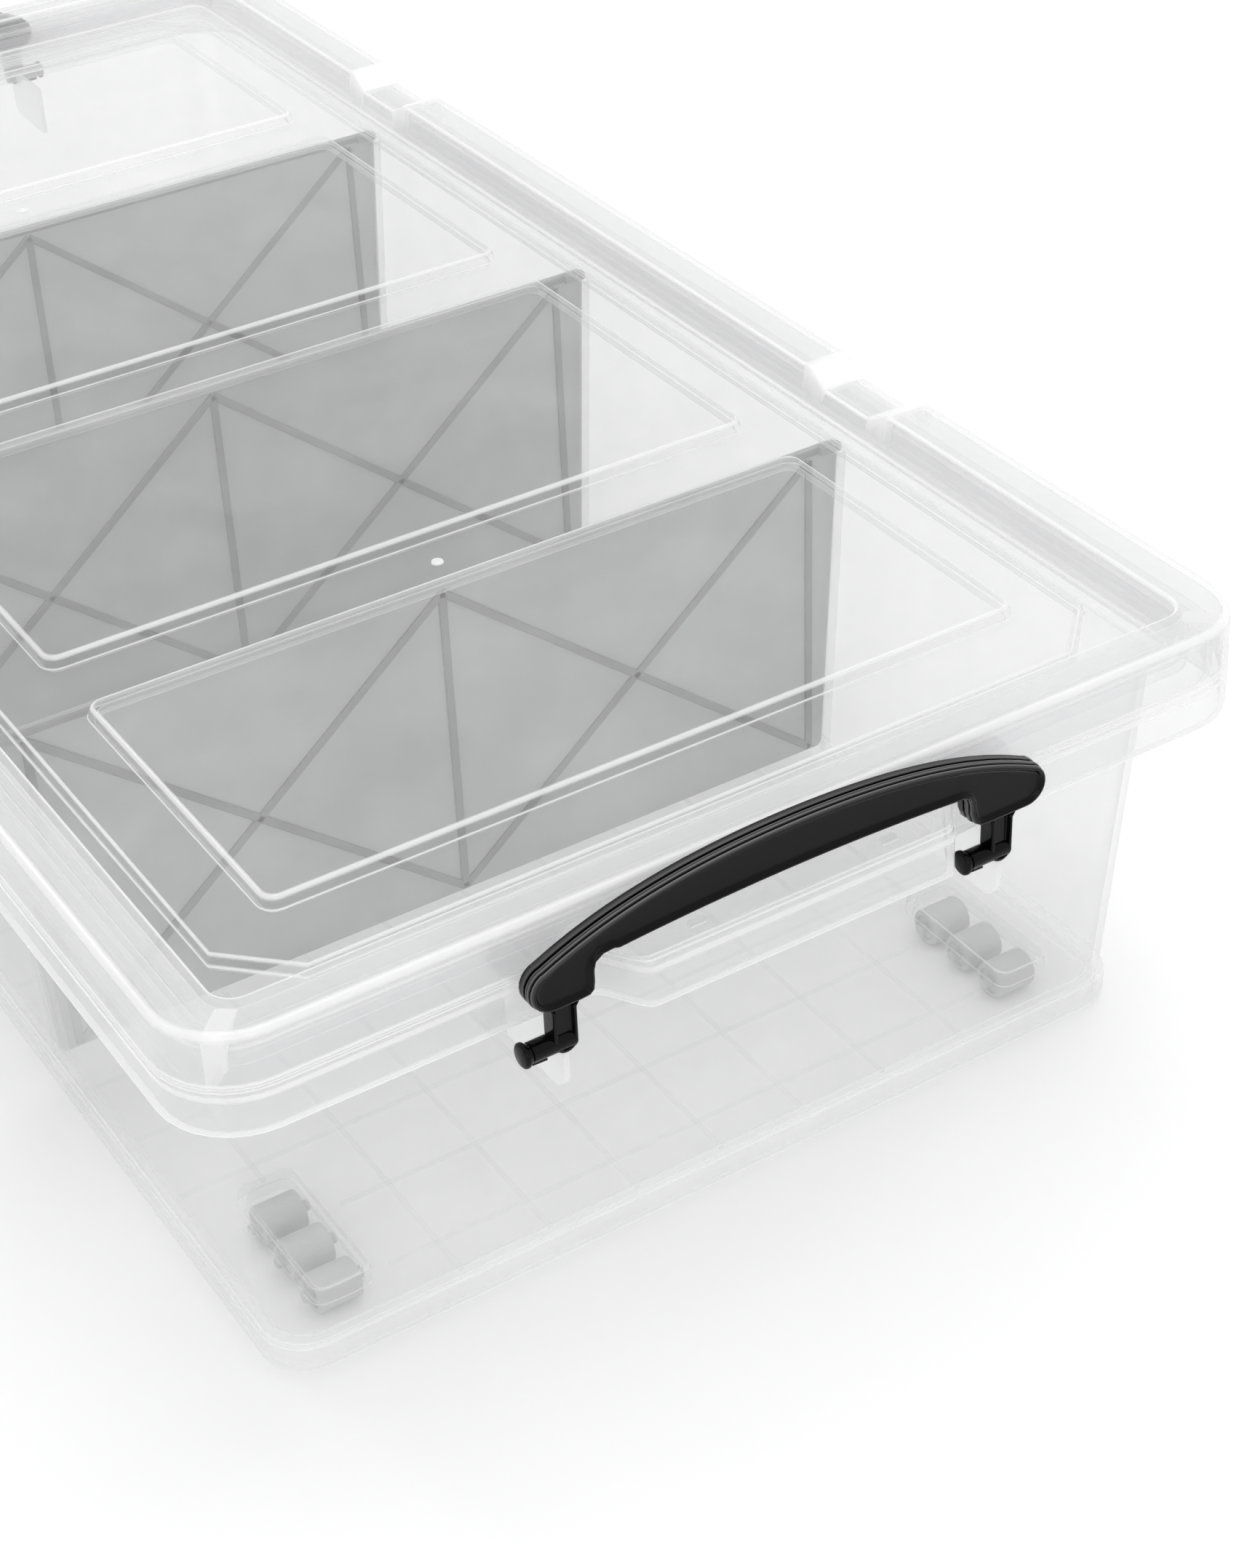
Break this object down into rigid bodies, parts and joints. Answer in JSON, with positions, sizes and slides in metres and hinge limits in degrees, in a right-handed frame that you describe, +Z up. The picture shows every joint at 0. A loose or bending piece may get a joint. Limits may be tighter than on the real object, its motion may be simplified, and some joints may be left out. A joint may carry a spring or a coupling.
{
  "type": "wheeled storage box",
  "caption": "Low, clear lidded storage box on rollers, with swing-down clip handles at its ends and slide-in dividers inside.",
  "frame": {"origin": "on the ground, under the centre of the box", "axes": "+Z up, +Y along the long side from the front handle to the rear handle, +X to the right seen from the front"},
  "size_m": [0.395, 0.812, 0.1746],
  "materials": {
    "clear_plastic": "clear milky moulded plastic, slightly hazy",
    "grey_plastic": "grey smoky moulded plastic",
    "black_plastic": "glossy black moulded plastic",
    "roller_plastic": "satin grey moulded plastic"
  },
  "bodies": {
    "tub": {"tub": "clear_plastic"},
    "lid": {"lid": "clear_plastic"},
    "handle_front": {"handle_front": "black_plastic"},
    "handle_rear": {"handle_rear": "black_plastic"},
    "divider_front": {"divider_front": "grey_plastic"},
    "divider_middle": {"divider_middle": "grey_plastic"},
    "divider_rear": {"divider_rear": "grey_plastic"},
    "roller_front_left_1": {"roller_front_left_1": "roller_plastic"},
    "roller_front_left_2": {"roller_front_left_2": "roller_plastic"},
    "roller_front_left_3": {"roller_front_left_3": "roller_plastic"},
    "roller_front_right_1": {"roller_front_right_1": "roller_plastic"},
    "roller_front_right_2": {"roller_front_right_2": "roller_plastic"},
    "roller_front_right_3": {"roller_front_right_3": "roller_plastic"},
    "roller_rear_left_1": {"roller_rear_left_1": "roller_plastic"},
    "roller_rear_left_2": {"roller_rear_left_2": "roller_plastic"},
    "roller_rear_left_3": {"roller_rear_left_3": "roller_plastic"},
    "roller_rear_right_1": {"roller_rear_right_1": "roller_plastic"},
    "roller_rear_right_2": {"roller_rear_right_2": "roller_plastic"},
    "roller_rear_right_3": {"roller_rear_right_3": "roller_plastic"}
  },
  "joints": [
    {"name": "lid_lift", "type": "slide", "parent": "tub", "child": "lid", "axis": [0, 0, 1], "range_m": [0, 0.038]},
    {"name": "handle_front_swing", "type": "hinge", "parent": "tub", "child": "handle_front", "pos_m": [0, -0.3985, 0.128], "axis": [1, 0, 0], "range_deg": [0, 120]},
    {"name": "handle_rear_swing", "type": "hinge", "parent": "tub", "child": "handle_rear", "pos_m": [0, 0.3985, 0.128], "axis": [1, 0, 0], "range_deg": [-120, 0]},
    {"name": "divider_front_lift", "type": "slide", "parent": "tub", "child": "divider_front", "axis": [0, 0, 1], "range_m": [0, 0.032]},
    {"name": "divider_middle_lift", "type": "slide", "parent": "tub", "child": "divider_middle", "axis": [0, 0, 1], "range_m": [0, 0.032]},
    {"name": "divider_rear_lift", "type": "slide", "parent": "tub", "child": "divider_rear", "axis": [0, 0, 1], "range_m": [0, 0.032]},
    {"name": "roller_front_left_1_spin", "type": "hinge", "parent": "tub", "child": "roller_front_left_1", "pos_m": [-0.139, -0.3355, 0.007], "axis": [1, 0, 0], "continuous": true},
    {"name": "roller_front_left_2_spin", "type": "hinge", "parent": "tub", "child": "roller_front_left_2", "pos_m": [-0.139, -0.3165, 0.007], "axis": [1, 0, 0], "continuous": true},
    {"name": "roller_front_left_3_spin", "type": "hinge", "parent": "tub", "child": "roller_front_left_3", "pos_m": [-0.139, -0.2975, 0.007], "axis": [1, 0, 0], "continuous": true},
    {"name": "roller_front_right_1_spin", "type": "hinge", "parent": "tub", "child": "roller_front_right_1", "pos_m": [0.139, -0.3355, 0.007], "axis": [1, 0, 0], "continuous": true},
    {"name": "roller_front_right_2_spin", "type": "hinge", "parent": "tub", "child": "roller_front_right_2", "pos_m": [0.139, -0.3165, 0.007], "axis": [1, 0, 0], "continuous": true},
    {"name": "roller_front_right_3_spin", "type": "hinge", "parent": "tub", "child": "roller_front_right_3", "pos_m": [0.139, -0.2975, 0.007], "axis": [1, 0, 0], "continuous": true},
    {"name": "roller_rear_left_1_spin", "type": "hinge", "parent": "tub", "child": "roller_rear_left_1", "pos_m": [-0.139, 0.3355, 0.007], "axis": [1, 0, 0], "continuous": true},
    {"name": "roller_rear_left_2_spin", "type": "hinge", "parent": "tub", "child": "roller_rear_left_2", "pos_m": [-0.139, 0.3165, 0.007], "axis": [1, 0, 0], "continuous": true},
    {"name": "roller_rear_left_3_spin", "type": "hinge", "parent": "tub", "child": "roller_rear_left_3", "pos_m": [-0.139, 0.2975, 0.007], "axis": [1, 0, 0], "continuous": true},
    {"name": "roller_rear_right_1_spin", "type": "hinge", "parent": "tub", "child": "roller_rear_right_1", "pos_m": [0.139, 0.3355, 0.007], "axis": [1, 0, 0], "continuous": true},
    {"name": "roller_rear_right_2_spin", "type": "hinge", "parent": "tub", "child": "roller_rear_right_2", "pos_m": [0.139, 0.3165, 0.007], "axis": [1, 0, 0], "continuous": true},
    {"name": "roller_rear_right_3_spin", "type": "hinge", "parent": "tub", "child": "roller_rear_right_3", "pos_m": [0.139, 0.2975, 0.007], "axis": [1, 0, 0], "continuous": true}
  ],
  "couplings": [
    {"joint": "handle_front_swing", "follows": "lid_lift", "rad_per_m": 55},
    {"joint": "handle_rear_swing", "follows": "lid_lift", "rad_per_m": -55},
    {"joint": "divider_front_lift", "follows": "lid_lift", "ratio": 0.8},
    {"joint": "divider_middle_lift", "follows": "lid_lift", "ratio": 0.8},
    {"joint": "divider_rear_lift", "follows": "lid_lift", "ratio": 0.8}
  ]
}
